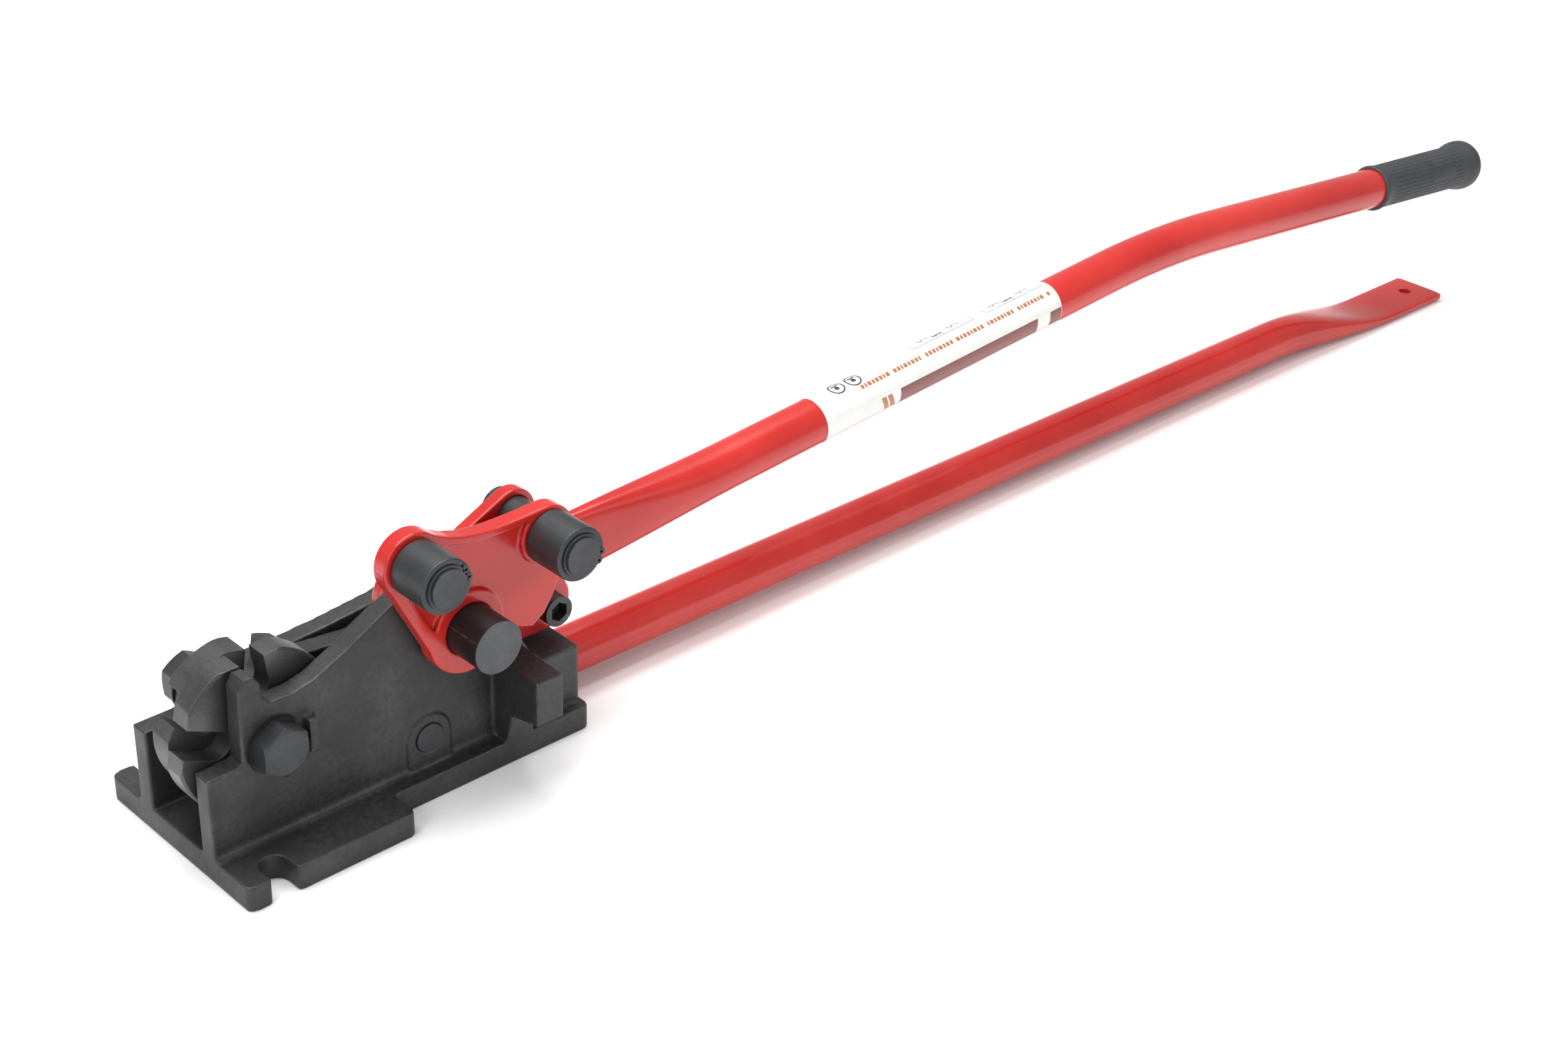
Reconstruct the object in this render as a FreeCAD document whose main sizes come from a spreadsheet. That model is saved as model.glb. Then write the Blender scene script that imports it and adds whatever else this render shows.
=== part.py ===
import FreeCAD, Part
import math
import os
import re
import Sketcher

# Manual reinforcing-bar cutter and bender.
# X runs from the cutters (-X) to the handles (+X), Y across the tool, Z up.
# The origin is on the underside of the base, directly below the cutter bolt.
# The near side (-Y) carries the bending rollers, the far side (+Y) is plain.

V = FreeCAD.Vector
doc = FreeCAD.newDocument("rebar_cutter_bender")
sheet = doc.addObject("Spreadsheet::Sheet", "dims")

DIMENSIONS = {
    # base casting
    "front_x": -46.5, "lug_end": 72.0, "base_end": 226.0, "front_half": 77.0, "rear_half": 54.0,
    "plate_thick": 17.0, "gap_half": 27.4, "cheek_thick": 14.0, "lug_slot_x": -21.7, "lug_slot_y": 65.0,
    "lug_slot_radius": 8.8, "boss_radius": 34.0, "socket_front": 191.0, "socket_end": 224.0,
    "socket_half": 45.4, "socket_top": 59.0, "stop_front": 158.5, "stop_length": 21.0,
    "stop_reach": 86.0, "stop_top": 77.0, "stop_low": 45.0, "pad_proud": 2.2, "pad_radius": 16.0,
    "lock_lug_x": 20.0, "lock_lug_width": 6.5, "lock_lug_drop": 12.0, "lock_lug_height": 23.0,
    "lock_lug_proud": 7.0, "spot_radius": 18.8, "spot_depth": 1.2, "foot_fillet": 5.0,
    # axes across the tool
    "bolt_height": 80.0, "pivot_x": 132.0, "pivot_height": 113.0, "front_roller_x": 93.6,
    "front_roller_height": 171.8, "rear_roller_x": 193.0, "rear_roller_height": 156.2, "clamp_x": 217.0,
    "clamp_height": 82.0, "grip_bolt_x": 203.0, "grip_bolt_height": 108.5, "tie_x": 107.5,
    "tie_height": 38.0, "crank_throw": 27.5, "crank_rest_angle": -55.0,
    # pins and fasteners
    "fit": 0.05, "bolt_radius": 10.0, "bolt_flats": 30.0, "bolt_head": 13.0, "cutter_nut_thick": 15.0,
    "washer_radius": 18.5, "washer_thick": 3.0, "pivot_radius": 17.4, "pivot_reach": 84.3,
    "thrust_thick": 2.5, "thrust_radius": 27.0, "tie_radius": 9.6, "crank_pin_radius": 10.0,
    "roller_pin_radius": 12.5, "pin_neck_radius": 12.0, "clamp_radius": 7.0, "clamp_head_radius": 10.5,
    "clamp_head": 13.5, "clamp_socket_flats": 12.0, "clamp_nut_thick": 11.0, "grip_bolt_radius": 6.0,
    "grip_bolt_flats": 18.0, "grip_bolt_head": 7.5, "grip_nut_thick": 10.0,
    "clamp_nut_flats": 21.0, "dowel_radius": 5.0, "circlip_thick": 1.5,
    # cutters
    "fixed_radius": 54.0, "fixed_bevel": 1.5, "moving_radius": 51.0, "moving_bevel": 2.5,
    "cutter_shift": 17.0, "fixed_cutter_far": -8.1, "fixed_cutter_thick": 15.9,
    "cutter_spacer_radius": 19.0, "mouth_flat": 4.2,
    "moving_cutter_far": 11.5, "moving_cutter_thick": 19.4, "lever_far": 26.6, "lever_thick": 15.0,
    "lever_boss": 19.5, "lever_slot_start": 146.0, "lever_slot_end": 163.0, "lever_slot_radius": 11.7,
    "lever_slot_angle": 3.6,
    # head: bending plate outside the near cheek, the rest inside the channel
    "near_plate_far": -44.2, "near_plate_thick": 12.0, "web_recess": 4.0, "lobe_front": 21.5,
    "lobe_rear": 20.0, "lobe_pivot": 30.0, "boss_ring": 26.0, "inner_plate_near": -22.0,
    "inner_plate_thick": 10.0, "lobe_inner_rear": 17.0, "lobe_clamp": 19.5, "inner_boss": 28.0,
    "crank_near": 1.0, "crank_far": 9.0, "crank_boss": 27.0, "crank_lobe": 17.0, "rear_pin_out": 7.0,
    "roller_radius": 18.0, "roller_gap": 0.5, "roller_length": 31.0, "roller_pin_end": 91.0,
    # tubes
    "tube_radius": 16.85, "tube_wall": 3.2, "tube_depth": 52.0, "tube_axis_height": 22.5,
    "tube_fall": 0.30, "round_length": 850.0, "blade_start": 1005.0, "blade_end": 1073.0,
    "blade_width": 48.0, "blade_thick": 7.0, "blade_hole": 5.3, "blade_hole_inset": 22.0,
    "handle_y": -5.6, "handle_start_x": 170.0, "handle_start_height": 100.3, "handle_rise": 4.77,
    "handle_dip": 4.93, "bend_radius": 820.0, "handle_first": 608.0, "handle_last": 361.0,
    "flat_height": 46.0, "flat_thick": 12.8, "flat_length": 70.0, "flat_blend": 125.0,
    "label_start": 298.0, "label_length": 244.0, "label_thick": 0.3,
    "handle_grip_length": 147.0, "handle_grip_radius": 18.9, "handle_grip_flange": 21.8,
    "handle_grip_wall": 4.0,
}

# Outlines seen from the near side: pairs of X and Z.
OUTLINES = {
    "near_cheek": [(-46.5, 12), (-46.5, 73.5), (-23, 74.5), (-21.5, 124), (-17, 131), (-10.5, 130.5),
                   (-6.5, 125), (-6, 115), (-1.5, 109.5), (14.5, 109), (29, 112), (53.5, 123),
                   (87.5, 141.6), (101.5, 148.6), (113, 147), (132, 146.9), (165.9, 113), (181.5, 80),
                   (192, 60), (192, 12)],
    "far_cheek": [(-46.5, 12), (-46.5, 72.5), (-18, 72.5), (-15, 95), (14, 93), (50, 93), (84, 95),
                  (124, 99), (140, 104), (160, 98), (192, 60), (192, 12)],
    "near_plate": [(73.2, 165.5), (102.5, 107.5), (149, 88.5), (157, 93.5), (164, 97), (170, 97.6),
                   (176, 95), (183, 92.8), (192, 99), (199, 109), (205, 121.5), (209.5, 137), (212.8, 154),
                   (193, 176.2), (178, 175.6), (165, 175.2), (153, 175.3), (141, 176.2), (130, 178.2),
                   (120, 181.4), (111, 185.8), (103, 191.1)],
    "web": [(86, 156), (104, 124), (118, 108), (150, 100), (186, 84), (217, 124), (205, 150),
            (180, 170), (141, 170.5), (118, 176), (100, 170)],
    "inner_plate": [(107, 126), (155, 157), (186, 171.7), (193, 156.2), (209, 151), (235.5, 88),
                    (217, 62.5), (193, 62.5), (165, 75), (132, 85)],
    "crank_plate": [(132, 140), (190, 131), (233, 90), (217, 65), (132, 86)],
    "lever": [(0, 99), (12, 99), (96, 90), (140, 112), (181, 115), (184, 70), (140, 62), (90, 56),
              (24, 54), (10, 61), (0, 61)],
}


def fill_sheet():
    row = 1
    entries = dict(DIMENSIONS)
    for name, points in OUTLINES.items():
        for index, (x, z) in enumerate(points):
            entries["%s_x_%d" % (name, index)] = x
            entries["%s_z_%d" % (name, index)] = z
    for alias, value in entries.items():
        sheet.set("A%d" % row, alias)
        sheet.set("B%d" % row, str(value))
        sheet.setAlias("B%d" % row, alias)
        row += 1
    doc.recompute()
    return entries


D = fill_sheet()


def linked(expression):
    """Turn the aliases in a plain expression into references to the sheet."""
    def swap(match):
        word = match.group(0)
        return "dims." + word if word in D else word
    return re.sub(r"[A-Za-z_][A-Za-z_0-9]*", swap, str(expression))


def bind(obj, prop, expression):
    obj.setExpression(prop, linked(expression))


# ---------------------------------------------------------------- PartDesign helpers

def new_body(name):
    body = doc.addObject("PartDesign::Body", name)
    body.Label = name
    return body


def new_sketch(body, name, role, offset):
    """A sketch on one origin plane of the body, moved along that plane's normal."""
    sketch = body.newObject("Sketcher::SketchObject", name)
    plane = [item for item in body.Origin.OriginFeatures if item.Role == role][0]
    sketch.AttachmentSupport = [(plane, "")]
    sketch.MapMode = "FlatFace"
    bind(sketch, "AttachmentOffset.Base.z", offset)
    return sketch


def pin_point(sketch, geometry, position, across, up):
    """Tie one sketch point to two sheet expressions."""
    for kind, expression in (("DistanceX", across), ("DistanceY", up)):
        value = sheet.evalExpression(linked(expression))
        index = sketch.addConstraint(Sketcher.Constraint(kind, -1, 1, geometry, position, float(value)))
        sketch.setExpression("Constraints[%d]" % index, linked(expression))


def draw_polygon(sketch, points):
    values = [V(float(sheet.evalExpression(linked(a))), float(sheet.evalExpression(linked(b))), 0)
              for a, b in points]
    first = sketch.GeometryCount
    count = len(points)
    for index in range(count):
        sketch.addGeometry(Part.LineSegment(values[index], values[(index + 1) % count]), False)
    for index in range(count):
        following = first + (index + 1) % count
        sketch.addConstraint(Sketcher.Constraint("Coincident", first + index, 2, following, 1))
    for index, (across, up) in enumerate(points):
        pin_point(sketch, first + index, 1, across, up)


def draw_circle(sketch, across, up, radius):
    centre = V(float(sheet.evalExpression(linked(across))), float(sheet.evalExpression(linked(up))), 0)
    size = float(sheet.evalExpression(linked(radius)))
    index = sketch.addGeometry(Part.Circle(centre, V(0, 0, 1), size), False)
    pin_point(sketch, index, 3, across, up)
    constraint = sketch.addConstraint(Sketcher.Constraint("Radius", index, size))
    sketch.setExpression("Constraints[%d]" % constraint, linked(radius))


def extrude(body, sketch, kind, name, length, through=False):
    feature = body.newObject("PartDesign::" + kind, name)
    feature.Profile = sketch
    if through:
        feature.Type = 1
    else:
        bind(feature, "Length", length)
    doc.recompute()
    return feature


def outline_points(name):
    return [("%s_x_%d" % (name, i), "%s_z_%d" % (name, i)) for i in range(len(OUTLINES[name]))]


def slab(body, name, far, thick, polygon=None, circle=None):
    """Add material between y = far and y = far - thick."""
    sketch = new_sketch(body, name + "_sketch", "XZ_Plane", "-(%s)" % far)
    if polygon:
        draw_polygon(sketch, polygon)
    if circle:
        draw_circle(sketch, *circle)
    return extrude(body, sketch, "Pad", name, thick)


def bore(body, name, near, circle=None, polygon=None, depth=None):
    """Cut from y = near towards +Y, right through or to a depth."""
    sketch = new_sketch(body, name + "_sketch", "XZ_Plane", "-(%s)" % near)
    if polygon:
        draw_polygon(sketch, polygon)
    if circle:
        draw_circle(sketch, *circle)
    return extrude(body, sketch, "Pocket", name, depth, through=depth is None)


def edge_names(shape, test):
    return ["Edge%d" % (i + 1) for i, edge in enumerate(shape.Edges) if test(edge)]


def dress(body, kind, name, size, test):
    """Fillet or chamfer the edges of the body's tip that pass the test."""
    base = body.Tip
    feature = body.newObject("PartDesign::" + kind, name)
    feature.Base = (base, edge_names(base.Shape, test))
    bind(feature, "Radius" if kind == "Fillet" else "Size", size)
    doc.recompute()
    return feature


# ---------------------------------------------------------------- Part helpers

ALONG_Y = FreeCAD.Rotation(V(1, 0, 0), -90)


def place(obj, x, y, z, rotation=None):
    obj.Placement = FreeCAD.Placement(V(0, 0, 0), rotation or FreeCAD.Rotation())
    for axis, expression in (("x", x), ("y", y), ("z", z)):
        bind(obj, "Placement.Base." + axis, expression)


def rod(name, x, z, near, far, radius):
    """A round bar along Y from y = near to y = far."""
    obj = doc.addObject("Part::Cylinder", name)
    bind(obj, "Radius", radius)
    bind(obj, "Height", "(%s) - (%s)" % (far, near))
    place(obj, x, near, z, ALONG_Y)
    return obj


def hexagon(name, x, z, near, far, flats):
    """A hexagonal bar along Y, with two flats upright."""
    obj = doc.addObject("Part::Prism", name)
    obj.Polygon = 6
    bind(obj, "Circumradius", "(%s) / 2 / cos(30 deg)" % flats)
    bind(obj, "Height", "(%s) - (%s)" % (far, near))
    place(obj, x, near, z, ALONG_Y.multiply(FreeCAD.Rotation(V(0, 0, 1), 30)))
    return obj


def crowned(name, x, z, near, far, flats, face="near"):
    """A hexagonal head or nut blank whose corners are turned off at its outer face."""
    small, large = "(%s) * 0.475" % flats, "(%s) * 0.475 + 1.732 * ((%s) - (%s))" % (flats, far, near)
    cone = doc.addObject("Part::Cone", name + "_crown")
    bind(cone, "Radius1", small if face == "near" else large)
    bind(cone, "Radius2", large if face == "near" else small)
    bind(cone, "Height", "(%s) - (%s)" % (far, near))
    place(cone, x, near, z, ALONG_Y)
    obj = doc.addObject("Part::MultiCommon", name)
    obj.Shapes = [hexagon(name + "_bar", x, z, near, far, flats), cone]
    return obj


def fuse(name, *pieces):
    obj = doc.addObject("Part::MultiFuse", name)
    obj.Shapes = list(pieces)
    return obj


def cut(name, base, tool):
    obj = doc.addObject("Part::Cut", name)
    obj.Base = base
    obj.Tool = tool
    return obj


def ring(name, x, z, near, far, outer, inner):
    return cut(name, rod(name + "_outer", x, z, near, far, outer),
               rod(name + "_bore", x, z, "%s - 1" % near, "%s + 1" % far, inner))


def hex_nut(name, x, z, near, far, flats, hole):
    return cut(name, crowned(name + "_blank", x, z, near, far, flats, "far"),
               rod(name + "_bore", x, z, "%s - 1" % near, "%s + 1" % far, hole))


BOLT = ("0", "bolt_height")
PIVOT = ("pivot_x", "pivot_height")
FRONT_ROLLER = ("front_roller_x", "front_roller_height")
REAR_ROLLER = ("rear_roller_x", "rear_roller_height")
CLAMP = ("clamp_x", "clamp_height")
GRIP_BOLT = ("grip_bolt_x", "grip_bolt_height")
TIE = ("tie_x", "tie_height")
CRANK = ("pivot_x + crank_throw * cos(crank_rest_angle * 1 deg)",
         "pivot_height + crank_throw * sin(crank_rest_angle * 1 deg)")
OUTSIDE = "gap_half + cheek_thick"
FIXED_DOWEL = (17.0, -29.4)
LEVER_DOWELS = ((28.6, -16.5), (32.0, 8.5))
# reach of the seat from the bolt, its direction, direction of the mouth, radius, direction of the flat
NOTCHES = ((28.5, 176.0, 156.0, 9.3, 167.0), (31.6, 87.3, 98.0, 8.1, 92.0))


# ---------------------------------------------------------------- base body

def upright_at(edge, places, half):
    """An upright corner edge of the base plate at one of the X places and y = +-half."""
    box = edge.BoundBox
    upright = box.ZLength > 1 and box.XLength < 0.01 and box.YLength < 0.01
    return upright and abs(abs(box.YMin) - half) < 0.01 and min(abs(box.XMin - x) for x in places) < 0.01


def foot_edge(edge, outside):
    """The inside corner between a cheek's outer face and the top of the plate."""
    box = edge.BoundBox
    level = box.ZLength < 0.01 and abs(box.ZMin - D["plate_thick"]) < 0.01
    return level and box.YLength < 0.01 and abs(abs(box.YMin) - outside) < 0.01


def base_frame():
    body = new_body("base_frame")
    plan = new_sketch(body, "plan_sketch", "XY_Plane", "0")
    draw_polygon(plan, [("front_x", "-front_half"), ("lug_end", "-front_half"), ("lug_end", "-rear_half"),
                        ("base_end", "-rear_half"), ("base_end", "rear_half"), ("lug_end", "rear_half"),
                        ("lug_end", "front_half"), ("front_x", "front_half")])
    extrude(body, plan, "Pad", "plate", "plate_thick")
    for side in (-1, 1):
        slot = new_sketch(body, "slot_sketch_%d" % (side + 1), "XY_Plane", "plate_thick")
        edge = "%d * (front_half + 5)" % side
        centre = "%d * lug_slot_y" % side
        low, high = "lug_slot_x - lug_slot_radius", "lug_slot_x + lug_slot_radius"
        draw_polygon(slot, [(low, centre), (high, centre), (high, edge), (low, edge)])
        extrude(body, slot, "Pocket", "slot_%d" % (side + 1), None, through=True)
        seat = new_sketch(body, "slot_end_sketch_%d" % (side + 1), "XY_Plane", "plate_thick")
        draw_circle(seat, "lug_slot_x", centre, "lug_slot_radius")
        extrude(body, seat, "Pocket", "slot_end_%d" % (side + 1), None, through=True)

    slot_edges = (D["lug_slot_x"] - D["lug_slot_radius"], D["lug_slot_x"] + D["lug_slot_radius"])
    corners = (("corner_front", (D["front_x"],), D["front_half"], "5"),
               ("corner_slot", slot_edges, D["front_half"], "2"),
               ("corner_lug", (D["lug_end"],), D["front_half"], "4"),
               ("corner_rear", (D["base_end"],), D["rear_half"], "4"))
    for name, places, half, radius in corners:
        dress(body, "Fillet", name, radius, lambda edge: upright_at(edge, places, half))

    slab(body, "near_cheek", "-gap_half", "cheek_thick", outline_points("near_cheek"))
    slab(body, "far_cheek", OUTSIDE, "cheek_thick", outline_points("far_cheek"))
    outside = D["gap_half"] + D["cheek_thick"]
    dress(body, "Fillet", "cheek_feet", "foot_fillet", lambda edge: foot_edge(edge, outside))
    slab(body, "near_boss", "-gap_half", "cheek_thick", circle=(*PIVOT, "boss_radius"))

    socket = new_sketch(body, "socket_sketch", "XY_Plane", "plate_thick - 2")
    draw_polygon(socket, [("socket_front", "-socket_half"), ("socket_end", "-socket_half"),
                          ("socket_end", "socket_half"), ("socket_front", "socket_half")])
    extrude(body, socket, "Pad", "socket_block", "socket_top - plate_thick + 2")

    stop = new_sketch(body, "stop_sketch", "YZ_Plane", "stop_front")
    draw_polygon(stop, [("-gap_half - 2", "plate_thick - 2"), ("-rear_half", "plate_thick - 2"),
                        ("-rear_half - 6", "stop_low - 6"), ("-stop_reach", "stop_low"),
                        ("-stop_reach", "stop_top - 1"), ("-gap_half - 2", "stop_top + 1")])
    extrude(body, stop, "Pad", "bend_stop", "stop_length")

    slab(body, "tie_pad", "-gap_half - 2", "cheek_thick - 2 + pad_proud", circle=(*TIE, "pad_radius"))
    slab(body, "tie_pad_foot", "-gap_half - 2", "cheek_thick - 2 + pad_proud",
         [("tie_x - pad_radius", "plate_thick - 2"), ("tie_x + pad_radius", "plate_thick - 2"),
          ("tie_x + pad_radius", "tie_height"), ("tie_x - pad_radius", "tie_height")])
    low, high = "bolt_height - lock_lug_drop", "bolt_height - lock_lug_drop + lock_lug_height"
    slab(body, "lock_lug", "-gap_half - 2", "cheek_thick - 2 + lock_lug_proud",
         [("lock_lug_x", low), ("lock_lug_x + lock_lug_width", low),
          ("lock_lug_x + lock_lug_width", high), ("lock_lug_x", high)])

    bore(body, "bolt_spot_face", "-(%s)" % OUTSIDE, circle=(*BOLT, "spot_radius"), depth="spot_depth")
    clear = "-stop_reach - 20"
    bore(body, "bolt_bore", clear, circle=(*BOLT, "bolt_radius + fit"))
    bore(body, "tie_bore", clear, circle=(*TIE, "tie_radius + fit"))
    bore(body, "pivot_bore", clear, circle=(*PIVOT, "pivot_radius + fit"),
         depth="stop_reach + 20 - gap_half + 1")
    bore(body, "dowel_hole", "-gap_half - 9", depth="12",
         circle=(FIXED_DOWEL[0], "bolt_height + (%s)" % FIXED_DOWEL[1], "dowel_radius + fit"))

    tube = new_sketch(body, "tube_sketch", "YZ_Plane", "base_end + 10")
    draw_circle(tube, "0", "tube_axis_height - 0.35", "tube_radius + 0.25")
    extrude(body, tube, "Pocket", "tube_bore", "tube_depth + 10")
    return body


def cutter_bolt():
    head = crowned("bolt_head_blank", *BOLT, "-(%s) - 0.2 - bolt_head" % OUTSIDE,
                   "-(%s) + spot_depth - 0.2" % OUTSIDE, "bolt_flats")
    shank = rod("bolt_shank", *BOLT, "-(%s) - 1" % OUTSIDE,
                "%s + washer_thick + cutter_nut_thick + 1.5" % OUTSIDE, "bolt_radius")
    return fuse("cutter_bolt", head, shank)


def base_fasteners():
    cutter_bolt()
    ring("cutter_washer", *BOLT, OUTSIDE, "%s + washer_thick" % OUTSIDE, "washer_radius",
         "bolt_radius + fit")
    hex_nut("cutter_nut", *BOLT, "%s + washer_thick" % OUTSIDE,
            "%s + washer_thick + cutter_nut_thick" % OUTSIDE, "bolt_flats", "bolt_radius + fit")
    rod("tie_pin", *TIE, "-(%s) - pad_proud - 0.4" % OUTSIDE, "%s + 1" % OUTSIDE, "tie_radius")
    rod("cutter_dowel", FIXED_DOWEL[0], "bolt_height + (%s)" % FIXED_DOWEL[1], "-gap_half - 8.5",
        "fixed_cutter_far - 4", "dowel_radius")
    ring("cutter_spacer", *BOLT, "-gap_half", "fixed_cutter_far - fixed_cutter_thick",
         "cutter_spacer_radius", "bolt_radius + fit")
    ring("thrust_washer", *PIVOT, "-(%s) - thrust_thick" % OUTSIDE, "-(%s)" % OUTSIDE, "thrust_radius",
         "pivot_radius + fit")
    ring("inner_thrust_washer", *PIVOT, "-gap_half", "inner_plate_near - 0.1", "thrust_radius",
         "pivot_radius + fit")
    body = rod("main_pin_bar", *PIVOT, "-pivot_reach", "crank_near - 0.3", "pivot_radius")
    neck = rod("main_pin_neck", *PIVOT, "crank_near - 1", "crank_far + 2.1", "pin_neck_radius")
    groove = ring("main_pin_groove", *PIVOT, "crank_far + 0.2", "crank_far + 0.2 + circlip_thick",
                  "pin_neck_radius + 2", "pin_neck_radius - 1.5")
    cut("main_pin", fuse("main_pin_blank", body, neck), groove)
    ring("main_pin_circlip", *PIVOT, "crank_far + 0.25", "crank_far + 0.15 + circlip_thick",
         "pin_neck_radius + 2.6", "pin_neck_radius - 1.4")


# ---------------------------------------------------------------- cutters

def notch(body, name, near, reach, centre_angle, mouth_angle, radius):
    """A U notch: a round seat inside the disc and a straight mouth out through the rim."""
    seat = ("%s * cos(%s)" % (reach, centre_angle), "bolt_height + %s * sin(%s)" % (reach, centre_angle))
    bore(body, name + "_seat", near, circle=(*seat, str(radius)))
    along = ("cos(%s)" % mouth_angle, "sin(%s)" % mouth_angle)
    corners = []
    for run, side in ((0, -1), (60, -1), (60, 1), (0, 1)):
        flare = radius + 0.4 if run else radius
        corners.append(("%s + %s * %s - (%s) * %s * %s" % (seat[0], run, along[0], side, flare, along[1]),
                        "%s + %s * %s + (%s) * %s * %s" % (seat[1], run, along[1], side, flare, along[0])))
    bore(body, name + "_mouth", near, polygon=corners)


def rim_flat(body, name, near, radius, angle):
    """A flat ground across the rim of a disc, square to the given direction."""
    along = ("cos(%s)" % angle, "sin(%s)" % angle)
    inner, outer, half = "(%s - mouth_flat)" % radius, "(%s + 4)" % radius, "(%s / 2)" % radius
    corners = []
    for run, side in ((inner, -1), (outer, -1), (outer, 1), (inner, 1)):
        corners.append(("%s * %s - (%d) * %s * %s" % (run, along[0], side, half, along[1]),
                        "bolt_height + %s * %s + (%d) * %s * %s" % (run, along[1], side, half, along[0])))
    bore(body, name, near, polygon=corners)


def cutter(name, far, thick, turn, dowels, radius, bevel, bevel_face):
    """A disc cutter with a front and a top notch; turn rotates the whole notch pattern."""
    body = new_body(name)
    slab(body, name + "_disc", far, thick, circle=(*BOLT, radius))
    face = float(sheet.evalExpression(linked(bevel_face)))
    dress(body, "Chamfer", name + "_bevel", bevel,
          lambda edge: edge.Curve.TypeId.endswith("Circle") and abs(edge.BoundBox.YMin - face) < 0.01)
    near = "(%s) - (%s) - 1" % (far, thick)
    bore(body, name + "_bore", near, circle=(*BOLT, "bolt_radius + fit"))
    for index, (reach, centre, mouth, size, flat) in enumerate(NOTCHES):
        rim_flat(body, "%s_flat_%d" % (name, index), near, radius, "(%s + %s) * 1 deg" % (flat, turn))
        notch(body, "%s_notch_%d" % (name, index), near, reach, "(%s + %s) * 1 deg" % (centre, turn),
              "(%s + %s) * 1 deg" % (mouth, turn), size)
    for index, (x, z) in enumerate(dowels):
        bore(body, "%s_dowel_%d" % (name, index), near,
             circle=(str(x), "bolt_height + (%s)" % z, "dowel_radius + fit"))
    return body


def cutter_lever():
    body = new_body("cutter_lever")
    slab(body, "lever_beam", "lever_far", "lever_thick", outline_points("lever"))
    slab(body, "lever_boss_pad", "lever_far", "lever_thick", circle=(*BOLT, "lever_boss"))
    near = "lever_far - lever_thick - 1"
    bore(body, "lever_bore", near, circle=(*BOLT, "bolt_radius + fit"))
    along = ("cos(lever_slot_angle * 1 deg)", "sin(lever_slot_angle * 1 deg)")
    ends = []
    for reach in ("lever_slot_start", "lever_slot_end"):
        ends.append(("%s * %s" % (reach, along[0]), "bolt_height + %s * %s" % (reach, along[1])))
    for index, end in enumerate(ends):
        bore(body, "lever_slot_end_%d" % index, near, circle=(*end, "lever_slot_radius"))
    corners = []
    for end, side in ((0, -1), (1, -1), (1, 1), (0, 1)):
        corners.append(("%s - (%d) * lever_slot_radius * %s" % (ends[end][0], side, along[1]),
                        "%s + (%d) * lever_slot_radius * %s" % (ends[end][1], side, along[0])))
    bore(body, "lever_slot", near, polygon=corners)
    for index, (x, z) in enumerate(LEVER_DOWELS):
        bore(body, "lever_dowel_hole_%d" % index, near,
             circle=(str(x), "bolt_height + (%s)" % z, "dowel_radius + fit"))
    return body


def moving_cutter_parts():
    cutter("moving_cutter", "moving_cutter_far", "moving_cutter_thick", "-cutter_shift", LEVER_DOWELS,
           "moving_radius", "moving_bevel", "moving_cutter_far")
    cutter_lever()
    pins = [rod("lever_dowel_%d" % index, str(x), "bolt_height + (%s)" % z, "moving_cutter_far - 15",
                "lever_far - 1", "dowel_radius") for index, (x, z) in enumerate(LEVER_DOWELS)]
    group = doc.addObject("Part::Compound", "lever_dowels")
    group.Links = pins


# ---------------------------------------------------------------- handle head

def near_plate():
    body = new_body("near_plate")
    far, thick = "near_plate_far", "near_plate_thick"
    slab(body, "near_plate_web", far, thick, outline_points("near_plate"))
    lobes = ((FRONT_ROLLER, "lobe_front"), (REAR_ROLLER, "lobe_rear"), (PIVOT, "lobe_pivot"))
    for index, (axis, radius) in enumerate(lobes):
        slab(body, "near_plate_lobe_%d" % index, far, thick, circle=(*axis, radius))
    face = "near_plate_far - near_plate_thick"
    bore(body, "near_plate_recess", face, polygon=outline_points("web"), depth="web_recess")
    bosses = ((FRONT_ROLLER, "lobe_front"), (REAR_ROLLER, "lobe_rear"), (PIVOT, "boss_ring"))
    for index, (axis, radius) in enumerate(bosses):
        slab(body, "near_plate_boss_%d" % index, far, thick, circle=(*axis, radius))
    near = face + " - 1"
    bore(body, "near_plate_pivot_bore", near, circle=(*PIVOT, "pivot_radius + fit"))
    bore(body, "near_plate_front_bore", near, circle=(*FRONT_ROLLER, "roller_pin_radius + fit"))
    bore(body, "near_plate_rear_bore", near, circle=(*REAR_ROLLER, "roller_pin_radius + fit"))
    return body


def inner_plate():
    body = new_body("inner_plate")
    far = "inner_plate_near + inner_plate_thick"
    slab(body, "inner_plate_web", far, "inner_plate_thick", outline_points("inner_plate"))
    lobes = ((REAR_ROLLER, "lobe_inner_rear"), (CLAMP, "lobe_clamp"), (PIVOT, "inner_boss"))
    for index, (axis, radius) in enumerate(lobes):
        slab(body, "inner_plate_lobe_%d" % index, far, "inner_plate_thick", circle=(*axis, radius))
    slab(body, "inner_plate_boss", "crank_near", "crank_near - inner_plate_near",
         circle=(*PIVOT, "inner_boss"))
    near = "inner_plate_near - 1"
    bores = ((PIVOT, "pivot_radius"), (REAR_ROLLER, "roller_pin_radius"), (CLAMP, "clamp_radius"),
             (GRIP_BOLT, "grip_bolt_radius"))
    for index, (axis, radius) in enumerate(bores):
        bore(body, "inner_plate_bore_%d" % index, near, circle=(*axis, radius + " + fit"))
    return body


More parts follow.
